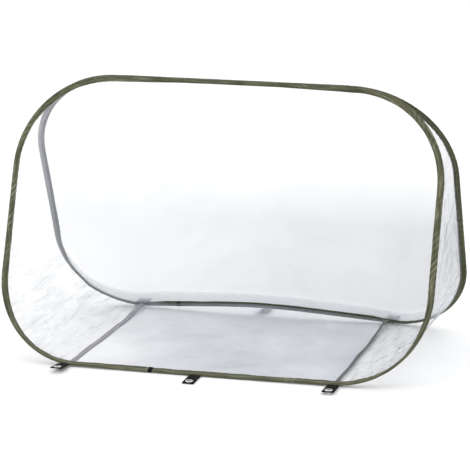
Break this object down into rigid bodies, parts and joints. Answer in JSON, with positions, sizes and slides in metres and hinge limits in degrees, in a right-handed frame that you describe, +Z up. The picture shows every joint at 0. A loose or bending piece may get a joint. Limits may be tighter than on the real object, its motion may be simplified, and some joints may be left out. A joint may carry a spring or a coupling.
{
  "type": "pop up greenhouse",
  "caption": "Small pop-up greenhouse: two rounded rectangular sprung hoops joined along the ridge, with clear film floor, ends and back, an open front and eyelet tabs for pegs.",
  "frame": {"origin": "on the ground, at the bottom centre of the bounding box, midway between the two hoops", "axes": "+X to the right along the ridge, -Y out of the open front, +Z up"},
  "size_m": [0.9996, 0.6332, 0.6188],
  "materials": {
    "spring_steel": "satin",
    "ferrule_black": "matte",
    "olive_tape": "woven polyester binding",
    "clear_film": "gloss clear PVC",
    "grey_tape": "woven polyester binding",
    "black_webbing": "woven polypropylene webbing",
    "eyelet_metal": "polished nickel plate"
  },
  "bodies": {
    "front_frame": {"front_hoop_wire": "spring_steel", "front_wire_ferrule": "ferrule_black", "front_hoop_sleeve": "olive_tape", "floor_sheet": "clear_film", "left_end_panel": "clear_film", "right_end_panel": "clear_film", "left_floor_tape": "grey_tape", "right_floor_tape": "grey_tape", "ridge_binding": "olive_tape"},
    "rear_frame": {"rear_hoop_wire": "spring_steel", "rear_wire_ferrule": "ferrule_black", "rear_hoop_sleeve": "olive_tape", "rear_panel": "clear_film"},
    "front_left_tab": {"front_left_tab": "black_webbing", "front_left_eyelet": "eyelet_metal", "front_left_eyelet_washer": "eyelet_metal"},
    "front_middle_tab": {"front_middle_tab": "black_webbing", "front_middle_eyelet": "eyelet_metal", "front_middle_eyelet_washer": "eyelet_metal"},
    "front_right_tab": {"front_right_tab": "black_webbing", "front_right_eyelet": "eyelet_metal", "front_right_eyelet_washer": "eyelet_metal"},
    "rear_left_tab": {"rear_left_tab": "black_webbing", "rear_left_eyelet": "eyelet_metal", "rear_left_eyelet_washer": "eyelet_metal"},
    "rear_middle_tab": {"rear_middle_tab": "black_webbing", "rear_middle_eyelet": "eyelet_metal", "rear_middle_eyelet_washer": "eyelet_metal"},
    "rear_right_tab": {"rear_right_tab": "black_webbing", "rear_right_eyelet": "eyelet_metal", "rear_right_eyelet_washer": "eyelet_metal"}
  },
  "joints": [
    {"name": "ridge_fold", "type": "hinge", "parent": "front_frame", "child": "rear_frame", "pos_m": [0, 0, 0.61301], "axis": [1, 0, 0], "range_deg": [-43, 0], "deforming": ["floor_sheet", "left_end_panel", "right_end_panel", "left_floor_tape", "right_floor_tape", "ridge_binding"]},
    {"name": "front_left_tab_fold", "type": "hinge", "parent": "front_frame", "child": "front_left_tab", "pos_m": [-0.328, -0.25902, 0.00573], "axis": [-1, 0, 0], "range_deg": [-11, 84]},
    {"name": "front_middle_tab_fold", "type": "hinge", "parent": "front_frame", "child": "front_middle_tab", "pos_m": [-0.021, -0.2608, 0.00201], "axis": [-1, 0, 0], "range_deg": [0, 95]},
    {"name": "front_right_tab_fold", "type": "hinge", "parent": "front_frame", "child": "front_right_tab", "pos_m": [0.294, -0.26, 0.00379], "axis": [-1, 0, 0], "range_deg": [-4, 91]},
    {"name": "rear_left_tab_fold", "type": "hinge", "parent": "rear_frame", "child": "rear_left_tab", "pos_m": [-0.316, 0.25991, 0.00438], "axis": [1, 0, 0], "range_deg": [0, 95]},
    {"name": "rear_middle_tab_fold", "type": "hinge", "parent": "rear_frame", "child": "rear_middle_tab", "pos_m": [-0.008, 0.25406, 0.01981], "axis": [1, 0, 0], "range_deg": [0, 95]},
    {"name": "rear_right_tab_fold", "type": "hinge", "parent": "rear_frame", "child": "rear_right_tab", "pos_m": [0.304, 0.26034, 0.00324], "axis": [1, 0, 0], "range_deg": [0, 95]}
  ]
}
